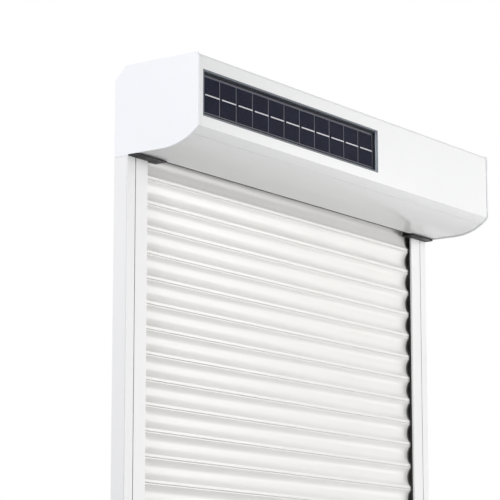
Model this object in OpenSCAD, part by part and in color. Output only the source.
// Exterior roller shutter: a box with a solar-powered tubular motor, two guide rails and
// a curtain of interlocking slats whose outer faces are hollow.
// X runs along the box, Y points into the wall and Z points up. The wall plane is Y = 0.
// The origin is the centre of the corner wall-fixing holes in the two rails.
// Sections across the box are drawn as (d, z), where d is the distance out of the wall.

/* [Box] */
// Overall width across the end caps
box_w = 840; // [700:10:1200]
// Height of the box
box_h = 137; // [130:1:180]
// Depth of the box out of the wall
box_d = 157; // [150:1:190]
// Leg of the 45 degree cut along the top back edge
chamfer = 21; // [12:1:26]
// Length of the underside's curve, back from the front
nose_len = 67; // [56:1:76]
// Height at which the underside's curve meets the front
nose_h = 26; // [20:1:34]
// Radius of the top front edge
top_r = 6; // [6:0.5:10]
// Thickness of an end cap's plate
cap_t = 4; // [3:0.5:6]
// Step by which an end cap stands proud of the panels
cap_lip = 1.2; // [0.6:0.1:1.6]
// How far an end cap's rim reaches into the panels
rim_depth = 14; // [10:1:20]
// Thickness of an end cap's rim
rim_t = 2.4; // [2:0.1:3]
// Sheet thickness of the panels
panel_t = 1.4; // [1:0.1:1.6]
// Distance of the lower seam from the front of the box
seam_front = 15; // [12:1:24]
// Open width of the seams between panels
seam_gap = 1.2; // [0.4:0.1:1.4]
// Overlap of the panels' tongues behind a seam
tongue = 8; // [5:1:12]
// Distance of the top seam from the front of the box
top_seam = 20; // [16:1:30]
// Depth of the exit slot's front edge
slot_d = 38; // [36:1:46]
// Height of the upturned lip at the exit slot
slot_lip = 10; // [8:1:14]
// Height of the rubber profile on that lip
slot_seal_h = 7; // [5:0.5:8]
// Wall of that rubber profile
slot_seal_t = 1.5; // [1:0.1:2]
// Depth of that rubber profile's rear edge, which closes the underside
slot_seal_d = 4; // [3:0.5:5]
// Depth of the return along the rear panel's lower edge
back_return = 5; // [4:0.5:6]

/* [Solar panel] */
// Width of the solar panel's frame
solar_w = 471; // [380:1:480]
// Height of the solar panel's frame
solar_h = 70; // [56:1:74]
// Distance of the frame from the box's left end
solar_left = 13; // [11:1:40]
// Height of the frame above the front's lower edge
solar_rise = 17; // [12:1:18]
// Width of the frame's visible edge
frame_edge = 2.4; // [2:0.1:3]
// Depth of the frame
frame_depth = 11.5; // [11:0.5:13]
// Depth of the glass behind the frame's front
glass_set = 4; // [3:0.5:4.5]
// Thickness of the glass
glass_t = 2; // [1.6:0.1:2.4]
// Thickness of the clear layer between glass and cells
clear_t = 0.3; // [0.2:0.05:0.5]
// Thickness of a cell
cell_t = 0.4; // [0.3:0.05:0.5]
// Thickness of the backsheet
backsheet_t = 1.6; // [1:0.1:2]
// Width of the flange behind the front panel
frame_flange = 5; // [4:0.5:7]
// Number of cells in the row
cell_count = 11; // [8:1:16]
// Gap between two cells
cell_gap = 2.4; // [1:0.1:3]
// Margin round the row of cells
cell_margin = 6; // [3:0.5:8]
// Width of the junction box behind the panel
junction_w = 64; // [50:1:80]
// Height of the junction box
junction_h = 14; // [10:1:18]
// Depth of the junction box
junction_d = 7; // [5:0.5:7.5]

/* [Battery] */
// Diameter of the battery tube
battery_tube = 26; // [22:1:28]
// Distance of the tube's end from the solar panel's flange
battery_gap = 27; // [20:1:40]
// Distance of the tube's end from the right end cap
battery_inset = 30; // [24:1:60]
// Wall of the battery clips
clip_t = 1.6; // [1.2:0.1:2]
// Length of a battery clip along the tube
clip_len = 16; // [12:1:24]

/* [Guide rails] */
// Width of a rail's front
rail_w = 47; // [44:1:56]
// Depth of a rail out of the wall
rail_d = 26; // [25.4:0.2:30]
// Wall of the rail's extrusion
rail_wall = 1.8; // [1.4:0.1:2.2]
// Width of the clip-on strip over the screw chamber
cover_w = 18.5; // [16:0.5:20]
// Thickness of the clip-on strip
cover_t = 1.6; // [1.2:0.1:2]
// Length of the strip's clip legs
cover_leg = 8; // [6:0.5:10]
// Depth of the barbs that hold the strip
barb = 0.8; // [0.6:0.1:1]
// Dark groove between the strip and the front lip
groove = 0.9; // [0.6:0.1:1.4]
// Depth of the return at the lip's free edge
lip_return = 3.2; // [3:0.1:4.2]
// Width of the lining's seal behind the lip
lining_w = 8; // [6:0.5:10]
// Wall of the lining
lining_t = 1.2; // [0.8:0.1:1.6]
// Diameter of the wall-fixing holes
fix_d = 6; // [5:0.5:8]
// Distance of the outer holes from the rail's ends
fix_end = 100; // [60:5:160]
// Thickness of the plug under a rail
plug_t = 2.5; // [2:0.1:4]
// Height of the plug's stub inside the rail
plug_stub = 15; // [10:1:25]

/* [Inlet guides] */
// Thickness of the plate between rail and box
inlet_t = 2; // [1.6:0.1:3]
// Reach of the plate in front of the rail
inlet_front = 18; // [12:1:20]
// Reach of the wing past the rail's inner edge
inlet_wing = 24; // [20:1:40]
// Height of the funnel inside the box
funnel_h = 20; // [14:1:24]
// Room before and behind the slats in the slot
inlet_play = 2.5; // [2:0.1:2.6]
// Forward lean of the funnel's front wall
funnel_lean = 10; // [6:1:12]
// Wall of the funnel
funnel_t = 2; // [1.6:0.1:2.4]
// Length of the tongue inside the rail
inlet_tongue = 25; // [15:1:40]
// Length of an end cap's spigot inside the rail
spigot_len = 40; // [25:1:60]

/* [Curtain] */
// Height of a slat from joint to joint
slat_pitch = 38; // [36:0.5:40]
// Number of slats
slat_count = 26; // [20:1:26]
// Distance of the slats' ridges out of the wall
ridge_d = 19; // [18:0.1:19.4]
// Depth of the hollow in a slat's outer face
slat_valley = 6.5; // [5:0.1:7]
// Least thickness of a slat, at the bottom of its hollow
slat_core = 3.2; // [2.8:0.1:3.4]
// Depth of a slat where it meets the next one
slat_joint = 8; // [7.8:0.1:8.4]
// Height of the bead above a joint
bead_h = 4.8; // [4:0.1:6]
// Run of the hollow's curve behind the bead and the upper lip
bead_step = 0.7; // [0.5:0.1:1]
// Wall of beads, hooks and tongues
skin = 1.2; // [1.1:0.1:1.3]
// Open gap between two slats that rest on each other
joint_gap = 0.4; // [0.3:0.1:0.6]
// Height of a hook above the joint
hook_h = 4.8; // [4.4:0.1:5]
// Reach of the lip that holds the hook of the slat below
lip_reach = 2.8; // [2.4:0.1:3]
// Reach of a slat's end into the rail's channel
slat_reach = 20; // [14:1:22]
// Height of the top joint above the box's underside
top_rise = 12; // [6:1:20]

/* [Bottom bar] */
// Height of the bottom bar
bar_h = 46; // [40:1:60]
// Depth of the bottom bar
bar_d = 9; // [8.6:0.1:9.4]
// Wall of the bottom bar
bar_wall = 1.6; // [1.2:0.1:2]
// Visible height of the rubber seal
seal_h = 5; // [3:0.5:8]
// Width of the groove's mouth for the seal
seal_neck = 3; // [2.4:0.1:3.4]
// Height of the groove for the seal's head
seal_head = 3.4; // [3:0.1:4]
// Distance of a stop from the shutter's middle
stop_x = 240; // [150:5:280]
// Length of a stop
stop_len = 37; // [35:1:44]
// Diameter of a stop at the bar
stop_base = 26; // [22:1:30]
// Diameter of a stop at its tip
stop_tip = 20; // [16:1:24]

/* [Drive] */
// Distance of the shaft's axis from the front of the box
axis_front = 79; // [75:1:83]
// Height of the axis above the box's underside
axis_h = 68; // [64:1:72]
// Shaft's width across flats
shaft_flats = 40; // [40:1:50]
// Wall of the shaft
shaft_wall = 1; // [0.8:0.1:1.2]
// Diameter of the motor
motor_d = 35; // [33:0.5:35]
// Length of the motor
motor_len = 420; // [300:10:500]
// Diameter of the motor's head
head_d = 46; // [44:1:50]
// Length of the motor's head
head_len = 18; // [14:1:24]
// Diameter of the head's spigot in the bracket
head_spigot = 22; // [16:1:26]
// Thickness of the seat on the left end cap
seat_t = 3; // [3:0.5:5]
// Thickness of the motor bracket
bracket_t = 3; // [2:0.5:4]
// Diameter of the motor bracket
bracket_d = 62; // [58:1:70]
// Diameter of the bracket's screws
screw_d = 4; // [3:0.5:5]
// Diameter of the motor's output shaft
output_d = 10; // [8:0.5:14]
// Length of the drive wheel
wheel_len = 20; // [14:1:30]
// Length of the crown inside the shaft
crown_len = 24; // [16:1:40]
// Length of the idler plug inside the shaft
idler_len = 50; // [30:1:80]
// Diameter of the idler's pin
pin_d = 12; // [10:0.5:14]
// Outer diameter of the idler's bearing
bearing_d = 32; // [28:1:36]
// Width of the bearing
bearing_w = 10; // [8:0.5:12]
// Thickness of the flanges at the shaft's ends
flange_t = 3; // [2:0.5:4]
// Number of suspension straps
strap_count = 3; // [2:1:4]
// Width of a strap
strap_w = 22; // [16:1:30]
// Thickness of a strap
strap_t = 1; // [0.8:0.1:1.2]

/* [Clearances] */
// Clearance between pieces that are fastened to each other
fit = 0.3; // [0.2:0.05:0.4]
// Clearance between pieces that turn or slide
run = 0.4; // [0.35:0.05:0.6]
// Clearance of the plugs inside the shaft
snug = 0.2; // [0.15:0.05:0.3]

/* [Hidden] */
$fn = 64;
// Overlap of joined shapes and overshoot of cuts
over = 1;
slat_white = [0.93, 0.92, 0.90];
paint_white = [0.95, 0.96, 0.97];
black = [0.06, 0.06, 0.07];
cell_navy = [0.10, 0.11, 0.16];
anthracite = [0.22, 0.24, 0.28];
glass_tint = [0.55, 0.62, 0.70, 0.35];
steel = [0.62, 0.63, 0.65];
motor_grey = [0.80, 0.80, 0.82];
nylon = [0.30, 0.31, 0.33];

// Heights: the curtain's stack sets the length of the rails
stack_h = seal_h + bar_h + slat_count * slat_pitch;
rail_h = stack_h - top_rise - inlet_t;
sill_z = -rail_h / 2;
rail_top = rail_h / 2;
box_z = rail_top + inlet_t;
bar_z = sill_z + seal_h;
first_joint = bar_z + bar_h;
top_joint = first_joint + slat_count * slat_pitch;
fix_z = rail_h / 2 - fix_end;
fix_u = cover_w / 2 + rail_wall / 2;
spigot_front = rail_d - cover_t - cover_leg - fit;

// Box
flat_d = box_d - nose_len;
seam_d = box_d - seam_front;
cap_in = box_w / 2 - cap_t;
panel_len = 2 * (cap_in - fit);
tongue_len = 2 * (cap_in - rim_depth - 2 * fit);
nose_r = (pow(nose_len, 2) + pow(nose_h, 2)) / (2 * nose_h);
face_d = box_d - cap_lip;
inner_d = face_d - panel_t;
rim_in = cap_lip + panel_t + fit;
top_seam_d = box_d - top_seam;
half_h = box_h / 2;
// room that the end caps leave round the exit slot
slot_room = 6;
// wall of the skirt that hides the inlet guide's edge beside the rail
skirt_t = cap_t / 2;
// depth of the step from an end cap's rim down to its ribs
rib_set = 4;

// Solar panel
solar_x = -box_w / 2 + solar_left + solar_w / 2;
solar_z = box_z + nose_h + solar_rise + solar_h / 2;
glass_front = face_d - glass_set;
cell_front = glass_front - glass_t - clear_t;
backsheet_front = cell_front - cell_t;
pane_w = solar_w - 2 * (frame_edge + fit);
pane_h = solar_h - 2 * (frame_edge + fit);
// ledge of the frame behind the backsheet
ledge = 2.5;
cell_pitch = (pane_w - 2 * cell_margin + cell_gap) / cell_count;
cell_h = pane_h - 2 * cell_margin;

// Battery
battery_step = 1;
battery_d = inner_d - fit - clip_t - battery_tube / 2;
battery_z = box_z + box_h - cap_lip - 2 * panel_t - 2 * fit - clip_t - battery_tube / 2;
battery_start = solar_x + solar_w / 2 + frame_flange + battery_gap;
battery_len = cap_in - battery_inset - battery_start;
battery_x = battery_start + battery_len / 2;

// Drive
axis_d = box_d - axis_front;
axis_z = box_z + axis_h;
seat_x = -cap_in + seat_t;
head_x = seat_x + bracket_t;
motor_x = head_x + head_len;
shaft_x0 = motor_x + flange_t + 2 * run;
shaft_x1 = cap_in - bearing_w - flange_t - 2 * run;
motor_end = motor_x + motor_len;
plug_flats = shaft_flats - 2 * shaft_wall - 2 * snug;
shaft_corner = shaft_flats / 2 / cos(22.5);
// margin of the flanges, of the screw heads and of the bracket's seat
margin = 2;
flange_flats = shaft_flats + 2 * margin;
screw_circle = bracket_d - 2 * screw_d - 2 * margin;
seat_d = bracket_d + 2 * margin;
neck_d = screw_circle - 2 * screw_d - 2 * run;

// Curtain: the section of a slat, with z measured from its lower joint
rail_in = box_w / 2 - rail_w;
slat_len = 2 * (rail_in + slat_reach);
back_d = ridge_d - slat_valley - slat_core;
joint_d = ridge_d - slat_joint;
back_sag = joint_d - back_d;
back_r = (pow(slat_pitch / 2, 2) + pow(back_sag, 2)) / (2 * back_sag);
slat_low = joint_gap / 2;
slat_high = slat_pitch - joint_gap / 2;
// height of the flat below a slat's upper edge
lip_h = 2.2;
hollow_h = slat_high - lip_h - bead_h;
half_chord = hollow_h / 2 + bead_step;
hollow_r = (pow(half_chord, 2) + pow(slat_valley, 2)) / (2 * slat_valley);
hollow_z = bead_h + hollow_h / 2;
hollow_d = ridge_d - slat_valley + hollow_r;
// play of a hook in the pocket of the slat above it: upwards and to the rear
hook_rise = 2;
hook_play = 0.7;
// length of a hook's turned-down end
hook_drop = 0.9;
pocket_h = hook_h + hook_rise;
hook_back = joint_d + skin + hook_play;
hook_front = ridge_d - 2 * skin - run;

// Bottom bar: its front lies a little behind the slats' ridges
bar_front = ridge_d - run;
stop_z = bar_z + bar_h / 2;

function slat_name(i) = str("slat_", i < 10 ? "0" : "", i);

// Draws a (d, z) section along X
module run_x(length, middle = 0) {
    translate([middle, 0, 0])
        rotate([90, 0, -90])
            linear_extrude(length, center = true)
                children();
}

// Draws a (u, d) section up a left rail, with u measured from the shutter's left side
module run_rail(low, high) {
    translate([-box_w / 2, 0, low])
        mirror([0, 1, 0])
            linear_extrude(high - low)
                children();
}

// Puts a shape that stands on Z onto the shaft's axis, starting at x
module on_axis(x) {
    translate([x, -axis_d, axis_z])
        rotate([0, 90, 0])
            children();
}

// Eight-sided outline by its width across flats
module octagon(flats) {
    rotate(22.5)
        circle(flats / 2 / cos(22.5), $fn = 8);
}

// Rectangle of a (d, z) section, with z measured from the box's underside
module band(d0, d1, z0, z1) {
    translate([d0, box_z + z0])
        square([d1 - d0, z1 - z0]);
}

// Outline of the box, moved inwards all round
module box_outline(inset) {
    corner = inset * (sqrt(2) - 1);
    top_round = max(top_r - inset, 0.2);
    translate([0, box_z])
        difference() {
            polygon([
                [inset, inset],
                [box_d - inset, inset],
                [box_d - inset, box_h - inset],
                [chamfer + corner, box_h - inset],
                [inset, box_h - chamfer - corner]
            ]);
            difference() {
                translate([flat_d, -over])
                    square([box_d, nose_h + inset + 3 * over]);
                translate([flat_d, nose_r])
                    circle(nose_r - inset, $fn = 180);
            }
            difference() {
                translate([box_d - inset - top_round, box_h - inset - top_round])
                    square(2 * top_round);
                translate([box_d - inset - top_round, box_h - inset - top_round])
                    circle(top_round);
            }
        }
}

// Wall between two insets of the box's outline
module shell(outer, inner) {
    difference() {
        box_outline(outer);
        box_outline(inner);
    }
}

module panel_shell() {
    shell(cap_lip, cap_lip + panel_t);
}

module tongue_shell() {
    shell(rim_in, rim_in + panel_t);
}

module joggle_shell() {
    shell(cap_lip, rim_in + panel_t);
}

// End cap: plate, rim that carries the panels, ribs and the spigot in the rail
module cap_blank() {
    rib_t = 2.4;
    rib_depth = rim_depth - rib_set;
    run_x(cap_t, -box_w / 2 + cap_t / 2)
        box_outline(0);
    run_x(skirt_t, -box_w / 2 + skirt_t / 2)
        band(0, rail_d, fit - inlet_t, over);
    run_x(rim_depth, -cap_in + rim_depth / 2)
        difference() {
            shell(rim_in, rim_in + rim_t);
            band(back_return + over, slot_d + slot_room, 0, slot_lip + slot_room);
        }
    run_x(rib_depth, -cap_in + rib_depth / 2)
        intersection() {
            difference() {
                box_outline(rim_in + rim_t / 2);
                band(0, slot_d + slot_room, 0, slot_lip + funnel_h);
            }
            translate([axis_d, axis_z])
                for (turn = [20 : 60 : 320])
                    rotate(turn)
                        translate([seat_d / 2 - over, -rib_t / 2])
                            square([box_d, rib_t]);
        }
    run_rail(rail_top - spigot_len, box_z + rim_in + rim_t)
        translate([cap_t + fit, rim_in])
            square([cover_w - cap_t - 2 * fit, spigot_front - rim_in]);
    run_rail(box_z, box_z + rim_in + rim_t)
        translate([cap_t / 2, rim_in])
            square([cap_t, spigot_front - rim_in]);
}

module left_end_cap() {
    color(paint_white)
        difference() {
            union() {
                cap_blank();
                on_axis(-cap_in - over)
                    cylinder(h = seat_t + over, d = seat_d);
            }
            bracket_holes(-cap_in, seat_t + over, screw_d + fit);
            on_axis(-cap_in)
                cylinder(h = seat_t + over, d = head_spigot + 2 * margin);
            // room for the solar panel's flange
            solar_plate(inner_d, frame_depth, solar_w + 2 * (frame_flange + fit),
                solar_h + 2 * (frame_flange + fit));
        }
}

module right_end_cap() {
    color(paint_white)
        difference() {
            union() {
                mirror([1, 0, 0])
                    cap_blank();
                on_axis(cap_in - bearing_w)
                    cylinder(h = bearing_w + over, d = seat_d);
            }
            on_axis(cap_in - bearing_w - over)
                cylinder(h = bearing_w + over, d = bearing_d + fit);
        }
}

module rear_top_panel() {
    wall_d = cap_lip + panel_t;
    color(paint_white) {
        run_x(panel_len)
            intersection() {
                panel_shell();
                union() {
                    band(0, wall_d, 0, box_h);
                    band(0, top_seam_d, half_h, box_h);
                }
            }
        run_x(tongue_len)
            band(cap_lip, back_return, cap_lip, wall_d);
    }
}

module front_panel() {
    opening_w = solar_w + 2 * fit;
    opening_h = solar_h + 2 * fit;
    color(paint_white)
        difference() {
            union() {
                run_x(panel_len)
                    intersection() {
                        panel_shell();
                        union() {
                            band(top_seam_d + seam_gap, box_d, half_h, box_h);
                            band(seam_d + seam_gap / 2, box_d, 0, half_h + over);
                        }
                    }
                run_x(tongue_len) {
                    intersection() {
                        tongue_shell();
                        band(top_seam_d - tongue, top_seam_d + tongue, half_h, box_h);
                    }
                    intersection() {
                        joggle_shell();
                        band(top_seam_d + seam_gap, top_seam_d + tongue, half_h, box_h);
                    }
                }
            }
            translate([solar_x - opening_w / 2, -box_d, solar_z - opening_h / 2])
                cube([opening_w, 3 * panel_t, opening_h]);
        }
}

module inspection_cover() {
    color(paint_white) {
        run_x(panel_len) {
            intersection() {
                panel_shell();
                band(slot_d, seam_d - seam_gap / 2, 0, half_h);
            }
            band(slot_d, slot_d + panel_t, cap_lip, slot_lip);
        }
        run_x(tongue_len) {
            intersection() {
                tongue_shell();
                band(seam_d - tongue, seam_d + tongue, 0, half_h);
            }
            intersection() {
                joggle_shell();
                band(seam_d - tongue, seam_d - seam_gap / 2, 0, half_h);
            }
        }
    }
}

// Rubber profile clipped over the lip of the inspection cover
module exit_slot_seal() {
    low = slot_lip - slot_seal_h;
    color(black)
        run_x(tongue_len)
            difference() {
                union() {
                    band(slot_d - fit - slot_seal_t, slot_d + panel_t + fit + slot_seal_t,
                        low, slot_lip + fit + slot_seal_t);
                    band(slot_d - fit - slot_seal_d, slot_d, cap_lip, low + slot_seal_d);
                }
                band(slot_d - fit, slot_d + panel_t + fit, 0, slot_lip + fit);
            }
}

// Plate in the front's plane, centred on the solar panel
module solar_plate(front, depth, w, h) {
    translate([solar_x - w / 2, -front, solar_z - h / 2])
        cube([w, depth, h]);
}

module solar_frame() {
    flange_front = inner_d - fit;
    flange_depth = face_d - frame_depth;
    color(anthracite)
        difference() {
            union() {
                solar_plate(face_d, frame_depth, solar_w, solar_h);
                solar_plate(flange_front, flange_front - flange_depth,
                    solar_w + 2 * frame_flange, solar_h + 2 * frame_flange);
            }
            solar_plate(face_d + over, face_d + over - backsheet_front + backsheet_t + fit,
                pane_w + 2 * fit, pane_h + 2 * fit);
            solar_plate(face_d + over, frame_depth + 2 * over,
                pane_w - 2 * ledge, pane_h - 2 * ledge);
        }
}

module solar_glass() {
    color(glass_tint)
        solar_plate(glass_front, glass_t, pane_w, pane_h);
}

module solar_cells() {
    color(cell_navy)
        for (i = [0 : cell_count - 1])
            translate([(i - (cell_count - 1) / 2) * cell_pitch, 0, 0])
                solar_plate(cell_front, cell_t, cell_pitch - cell_gap, cell_h);
}

module solar_backsheet() {
    color(black)
        solar_plate(backsheet_front, backsheet_t, pane_w, pane_h);
}

module solar_junction_box() {
    front = backsheet_front - backsheet_t;
    inset = ledge + 2 * fit + junction_h / 2;
    slit = 2;
    slit_w = junction_w - 4 * slit;
    color(black)
        translate([0, 0, inset - pane_h / 2])
            difference() {
                solar_plate(front, junction_d, junction_w, junction_h);
                for (side = [-1, 1])
                    translate([0, 0, side * junction_h / 4])
                        solar_plate(front - junction_d + slit / 2, slit, slit_w, slit);
            }
}

// Places a shape that stands on Z along the battery's axis, starting at x
module on_battery(x) {
    translate([x, -battery_d, battery_z])
        rotate([0, 90, 0])
            children();
}

module battery_pack() {
    end_cap = 8;
    color(nylon) {
        on_battery(battery_x - battery_len / 2)
            cylinder(h = battery_len, d = battery_tube - 2 * battery_step);
        for (x = [battery_x - battery_len / 2, battery_x + battery_len / 2 - end_cap])
            on_battery(x)
                cylinder(h = end_cap, d = battery_tube);
    }
}

// Spring clips: an open ring on a foot that is fixed behind the front panel
module battery_clips() {
    bore = battery_tube / 2 - battery_step + fit;
    mouth = 1.4 * bore;
    color(steel)
        for (side = [-1, 1])
            run_x(clip_len, battery_x + side * battery_len / 3)
                difference() {
                    union() {
                        translate([battery_d, battery_z])
                            circle(bore + clip_t);
                        translate([inner_d - fit - clip_t, battery_z - bore])
                            square([clip_t, 2 * bore]);
                        translate([battery_d, battery_z - clip_t])
                            square([inner_d - fit - battery_d, 2 * clip_t]);
                    }
                    translate([battery_d, battery_z])
                        circle(bore);
                    translate([battery_d - 2 * bore, battery_z - mouth / 2])
                        square([2 * bore, mouth]);
                }
}

// Screw holes of the motor bracket, or anything else on their circle
module bracket_holes(x, depth, hole) {
    for (turn = [45 : 90 : 315])
        on_axis(x)
            rotate(turn)
                translate([screw_circle / 2, 0, 0])
                    cylinder(h = depth, d = hole);
}

module motor_bracket() {
    color(steel)
        difference() {
            on_axis(seat_x)
                cylinder(h = bracket_t, d = bracket_d);
            bracket_holes(seat_x - over, bracket_t + 2 * over, screw_d + fit);
            on_axis(seat_x - over)
                cylinder(h = bracket_t + 2 * over, d = head_spigot + fit);
        }
}

module bracket_screws() {
    head_h = 2.4;
    color(steel) {
        bracket_holes(-cap_in + fit, seat_t + bracket_t, screw_d);
        bracket_holes(head_x, head_h, 2 * screw_d);
    }
}

// Motor: head, tube and output shaft
module tubular_motor() {
    collar = 6;
    color(motor_grey) {
        on_axis(seat_x)
            cylinder(h = bracket_t + over, d = head_spigot);
        on_axis(head_x)
            cylinder(h = head_len, d = neck_d);
        on_axis(motor_x - collar)
            cylinder(h = collar, d = head_d);
        on_axis(motor_x - over)
            cylinder(h = motor_len + over, d = motor_d);
        on_axis(motor_end - over)
            cylinder(h = wheel_len, d = output_d);
    }
}

// Ball bearing with recessed faces between its rings
module idler_bearing() {
    ring = bearing_d / 2 - pin_d / 2;
    recess = 0.8;
    recess_w = 0.4 * ring;
    color(steel)
        on_axis(cap_in - bearing_w)
            rotate_extrude()
                translate([pin_d / 2 + run, 0])
                    difference() {
                        square([ring - run, bearing_w - fit]);
                        for (z = [-over, bearing_w - fit - recess])
                            translate([(ring - recess_w) / 2, z])
                                square([recess_w, over + recess]);
                    }
}

// Rail's extrusion: screw chamber at the outside, slat channel at the inside
module rail_section() {
    barb_d = rail_d - cover_t - cover_leg + barb;
    square([rail_w, rail_wall]);
    square([rail_wall, rail_d - cover_t - fit]);
    translate([cover_w, 0])
        square([rail_wall, rail_d]);
    translate([cover_w, rail_d - rail_wall])
        square([rail_w - cover_w, rail_wall]);
    translate([rail_w - rail_wall, rail_d - lip_return])
        square([rail_wall, lip_return]);
    translate([rail_wall, barb_d + fit])
        square(barb);
    translate([cover_w - barb, barb_d + fit])
        square(barb);
    // small return that keeps the rear lining in place
    translate([rail_w - rail_wall, 0])
        square([rail_wall, 2 * rail_wall]);
}

module left_guide_rail() {
    color(paint_white)
        difference() {
            run_rail(sill_z + plug_t, rail_top)
                rail_section();
            for (z = [-fix_z, 0, fix_z])
                translate([-box_w / 2 + fix_u, 0, z])
                    rotate([90, 0, 0])
                        cylinder(h = 4 * rail_wall, d = fix_d, center = true);
        }
}

module right_guide_rail() {
    mirror([1, 0, 0])
        left_guide_rail();
}

// Clip-on strip that hides the wall screws
module left_rail_cover() {
    leg_t = 1.2;
    leg_low = rail_d - cover_t - cover_leg;
    leg_u = [rail_wall + barb + fit, cover_w - barb - fit - leg_t];
    color(paint_white)
        run_rail(sill_z + plug_t, rail_top) {
            translate([0, rail_d - cover_t])
                square([cover_w - groove, cover_t]);
            for (u = leg_u)
                translate([u, leg_low])
                    square([leg_t, cover_leg]);
            translate([leg_u[0] - barb, leg_low])
                square(barb);
            translate([leg_u[1] + leg_t, leg_low])
                square(barb);
        }
}

module right_rail_cover() {
    mirror([1, 0, 0])
        left_rail_cover();
}

// Rubber lining of the slat channel: a trough with a seal behind the lip and a fin at the back
module left_rail_lining() {
    fin = 2;
    edge = rail_w - rail_wall - fit;
    web_u = cover_w + rail_wall + fit;
    back = rail_wall + fit;
    front = rail_d - rail_wall - fit;
    low = sill_z + plug_t;
    seal_u = edge - lining_w;
    seal_back = ridge_d + run;
    seal_front = rail_d - lip_return - fit;
    color(black) {
        run_rail(low, rail_top - fit) {
            translate([web_u, back])
                square([edge - web_u, lining_t]);
            translate([web_u, back])
                square([lining_t, front - back]);
            translate([edge - lining_w / 2 - fin / 2, back])
                square([fin, back_d - run - back]);
        }
        run_rail(low, rail_top - inlet_tongue - fit) {
            translate([web_u, front - lining_t])
                square([edge - web_u, lining_t]);
            translate([seal_u, seal_back])
                square([lining_w, front - seal_back]);
            translate([seal_u, seal_back])
                square([lining_w + rail_wall, seal_front - seal_back]);
        }
    }
}

module right_rail_lining() {
    mirror([1, 0, 0])
        left_rail_lining();
}

// Inlet guide: plate on the rail's top, funnel in the box and tongue in the slat channel
module left_inlet_guide() {
    slot_back = back_d - inlet_play;
    slot_front = ridge_d + inlet_play;
    slot_u = cover_w + rail_wall;
    wing_u = rail_w + inlet_wing;
    wall_u = cap_t + rim_depth + 2 * rim_t;
    wall_x = (wall_u + wing_u - box_w) / 2;
    plate_d = rail_d + inlet_front;
    tongue_d = rail_d - rail_wall - fit;
    tongue_u = rail_w - rail_wall - fit;
    spigot_w = cover_w - cap_t;
    color(black) {
        run_rail(rail_top, box_z)
            difference() {
                polygon([
                    [skirt_t + fit, 0],
                    [wing_u, 0],
                    [wing_u, plate_d],
                    [cap_t, plate_d],
                    [0, plate_d - cap_t],
                    [0, rail_d + fit],
                    [skirt_t + fit, rail_d + fit]
                ]);
                translate([slot_u, slot_back])
                    square([wing_u, slot_front - slot_back]);
                translate([cap_t, rim_in - fit])
                    square([spigot_w, spigot_front - rim_in + 2 * fit]);
            }
        // front wall of the funnel, leaning away from the slats
        run_x(wing_u - wall_u, wall_x)
            polygon([
                [slot_front, rail_top],
                [slot_front + funnel_t, rail_top],
                [slot_front + funnel_t + funnel_lean, box_z + funnel_h],
                [slot_front + funnel_lean, box_z + funnel_h]
            ]);
        // rear wall of the funnel
        run_x(wing_u - wall_u, wall_x)
            polygon([
                [slot_back - funnel_t / 2, rail_top],
                [slot_back, rail_top],
                [slot_back, box_z + funnel_h / 4],
                [slot_back - funnel_t / 2, box_z + funnel_h / 2]
            ]);
        // tongue behind the lip of the rail
        run_rail(rail_top - inlet_tongue, rail_top)
            translate([tongue_u - lining_w, slot_front])
                square([lining_w, tongue_d - slot_front]);
    }
}

module right_inlet_guide() {
    mirror([1, 0, 0])
        left_inlet_guide();
}

module rail_end_plugs() {
    stub_back = rail_wall + fit;
    color(nylon)
        for (side = [0, 1])
            mirror([side, 0, 0]) {
                run_rail(sill_z, sill_z + plug_t)
                    square([cover_w + rail_wall, rail_d]);
                run_rail(sill_z, sill_z + plug_t + plug_stub)
                    translate([rail_wall + fit, stub_back])
                        square([cover_w - rail_wall - 2 * fit, spigot_front - stub_back]);
            }
}

module octagonal_shaft() {
    color(steel)
        on_axis(shaft_x0)
            linear_extrude(shaft_x1 - shaft_x0)
                difference() {
                    octagon(shaft_flats);
                    octagon(shaft_flats - 2 * shaft_wall);
                }
}

// Eight-sided plug with a flange outside the shaft's end
module shaft_plug(x, length, flange_x) {
    on_axis(x)
        linear_extrude(length)
            octagon(plug_flats);
    on_axis(flange_x)
        linear_extrude(flange_t)
            octagon(flange_flats);
}

module motor_crown() {
    flange_x = shaft_x0 - flange_t;
    color(nylon)
        difference() {
            shaft_plug(flange_x, flange_t + crown_len, flange_x);
            on_axis(flange_x - over)
                cylinder(h = flange_t + crown_len + 2 * over, d = motor_d + 2 * run);
        }
}

module drive_wheel() {
    color(nylon)
        difference() {
            on_axis(motor_end + run)
                linear_extrude(wheel_len)
                    octagon(plug_flats);
            on_axis(motor_end)
                cylinder(h = wheel_len + over, d = output_d + 2 * run);
        }
}

module idler_plug() {
    color(nylon) {
        shaft_plug(shaft_x1 - idler_len, idler_len + flange_t, shaft_x1);
        on_axis(shaft_x1)
            cylinder(h = cap_in - shaft_x1 - run, d = pin_d);
    }
}

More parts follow.
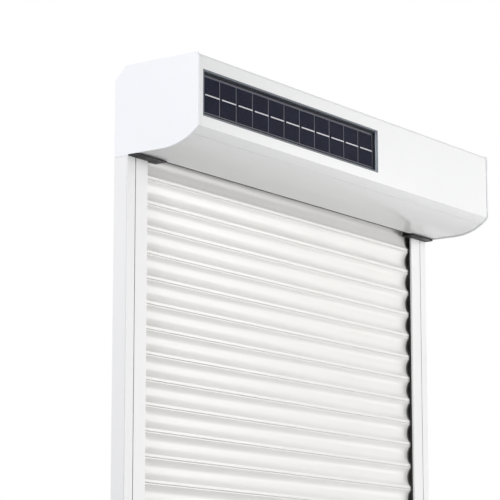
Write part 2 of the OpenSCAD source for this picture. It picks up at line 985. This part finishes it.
// Spring steel straps: wrapped over the shaft, then straight down to the top slat's hook
module suspension_straps() {
    wrap_r = shaft_corner + fit;
    wrap_turn = 60;
    leg_t = 0.9 * strap_t;
    grip_d = ridge_d - skin;
    grip_low = top_joint + over;
    grip_h = hook_h + 2 * strap_t;
    grip = [grip_d + strap_t / 2, grip_low + grip_h - over];
    span = [axis_d - grip[0], axis_z - grip[1]];
    reach = norm(span);
    leave = 180 + atan2(span[1], span[0]) - acos(wrap_r / reach);
    drop = sqrt(pow(reach, 2) - pow(wrap_r, 2));
    spacing = slat_len / (strap_count + 1);
    color(steel)
        for (i = [1 : strap_count])
            run_x(strap_w, i * spacing - slat_len / 2) {
                translate([axis_d, axis_z]) {
                    difference() {
                        circle(wrap_r + strap_t);
                        circle(wrap_r);
                        rotate(leave)
                            square([3 * wrap_r, 3 * wrap_r]);
                        rotate(leave + wrap_turn)
                            square([3 * wrap_r, 3 * wrap_r]);
                    }
                    rotate(leave)
                        translate([wrap_r + (strap_t - leg_t) / 2, -over])
                            square([leg_t, drop + 2 * over]);
                }
                translate([grip_d, grip_low])
                    square([strap_t, grip_h]);
                translate([grip_d - 2 * strap_t, grip_low])
                    square([3 * strap_t, strap_t]);
            }
}

// Hook along a slat's upper edge, with z measured from its joint
module hook_section() {
    translate([hook_back, -2 * skin])
        square([skin, 2 * skin + hook_h]);
    translate([hook_back, hook_h - skin])
        square([hook_front - hook_back - skin / 2, skin]);
    translate([hook_front - skin / 2, hook_h - skin / 2])
        circle(skin / 2);
    translate([hook_front - skin, hook_h - skin / 2 - hook_drop])
        square([skin, hook_drop]);
}

// Bead and lip along a slat's lower edge, with z measured from its joint
module bead_section() {
    round = skin * 0.7;
    translate([ridge_d - skin, slat_low])
        square([skin - round, bead_h - slat_low]);
    translate([ridge_d - skin, slat_low + round])
        square([skin, bead_h - slat_low - 2 * round]);
    for (z = [slat_low + round, bead_h - round])
        translate([ridge_d - round, z])
            circle(round);
    translate([ridge_d - skin - lip_reach, slat_low])
        square([lip_reach + skin / 2, skin]);
}

// Circle that the outer face is hollowed by, grown by a wall
module hollow_circle(wall) {
    translate([hollow_d, hollow_z])
        circle(hollow_r + wall, $fn = 180);
}

// Slat's section: hollow outer face, bowed back, pocket below and hook above
module slat_section() {
    edge = 0.6;
    bead_section();
    translate([0, slat_pitch])
        hook_section();
    difference() {
        intersection() {
            translate([0, slat_low])
                square([ridge_d, slat_high - slat_low]);
            translate([back_d + back_r, slat_pitch / 2])
                circle(back_r, $fn = 360);
        }
        intersection() {
            hollow_circle(0);
            translate([0, bead_h])
                square([2 * ridge_d, hollow_h]);
        }
        // pocket for the hook of the slat below
        difference() {
            translate([joint_d + skin, -over])
                square([ridge_d, pocket_h + over]);
            hollow_circle(skin);
        }
        // rounded upper edge of the outer face
        difference() {
            translate([ridge_d - edge, slat_high - edge])
                square(2 * edge);
            translate([ridge_d - edge, slat_high - edge])
                circle(edge);
        }
    }
}

module slat(i) {
    color(slat_white)
        run_x(slat_len)
            translate([0, first_joint + (i - 1) * slat_pitch])
                slat_section();
}

// Bottom bar: two chambers, a groove for the seal and the same hook as a slat
module bottom_bar() {
    back = bar_front - bar_d;
    middle = bar_front - bar_d / 2;
    groove_w = bar_d - 2 * bar_wall;
    groove_top = seal_head + bar_wall;
    chamber_low = groove_top + bar_wall;
    chamber_h = (bar_h - slat_low - chamber_low - 2 * bar_wall) / 2;
    color(slat_white)
        run_x(slat_len)
            translate([0, bar_z]) {
                translate([0, bar_h])
                    hook_section();
                difference() {
                    translate([back, 0])
                        square([bar_d, bar_h - slat_low]);
                    translate([middle - seal_neck / 2, -over])
                        square([seal_neck, bar_wall + 2 * over]);
                    translate([back + bar_wall, bar_wall])
                        square([groove_w, seal_head]);
                    for (i = [0, 1])
                        translate([back + bar_wall, chamber_low + i * (chamber_h + bar_wall)])
                            square([groove_w, chamber_h]);
                }
            }
}

module bottom_bar_seal() {
    middle = bar_front - bar_d / 2;
    head_w = bar_d - 2 * bar_wall - 2 * fit;
    foot_set = 1;
    foot_w = bar_d - 2 * foot_set;
    foot_r = foot_w / 2;
    end_gap = 2;
    color(black)
        run_x(2 * (rail_in - end_gap))
            translate([middle, bar_z]) {
                translate([-head_w / 2, bar_wall + fit])
                    square([head_w, seal_head - 2 * fit]);
                translate([-seal_neck / 2 + fit, -fit - over])
                    square([seal_neck - 2 * fit, bar_wall + 2 * fit + 2 * over]);
                difference() {
                    translate([-foot_r, -seal_h])
                        square([foot_w, seal_h - fit]);
                    for (side = [-1, 1])
                        translate([side * foot_r, -seal_h])
                            circle(foot_r / 3);
                }
            }
}

// Stops that meet the lip of the inspection cover when the curtain is up
module bottom_bar_stops() {
    rim = 2;
    color(slat_white)
        for (side = [-1, 1])
            translate([side * stop_x, -bar_front, stop_z])
                rotate([90, 0, 0]) {
                    cylinder(h = stop_len - rim, d1 = stop_base, d2 = stop_tip);
                    translate([0, 0, stop_len - rim])
                        cylinder(h = rim, d = stop_tip);
                }
}

left_end_cap();
right_end_cap();
rear_top_panel();
front_panel();
inspection_cover();
exit_slot_seal();
solar_frame();
solar_backsheet();
solar_cells();
solar_glass();
solar_junction_box();
battery_pack();
battery_clips();
tubular_motor();
motor_bracket();
bracket_screws();
idler_bearing();
left_guide_rail();
right_guide_rail();
left_rail_cover();
right_rail_cover();
left_rail_lining();
right_rail_lining();
left_inlet_guide();
right_inlet_guide();
rail_end_plugs();
octagonal_shaft();
motor_crown();
drive_wheel();
idler_plug();
suspension_straps();
bottom_bar();
bottom_bar_seal();
bottom_bar_stops();
for (i = [1 : slat_count])
    slat(i);
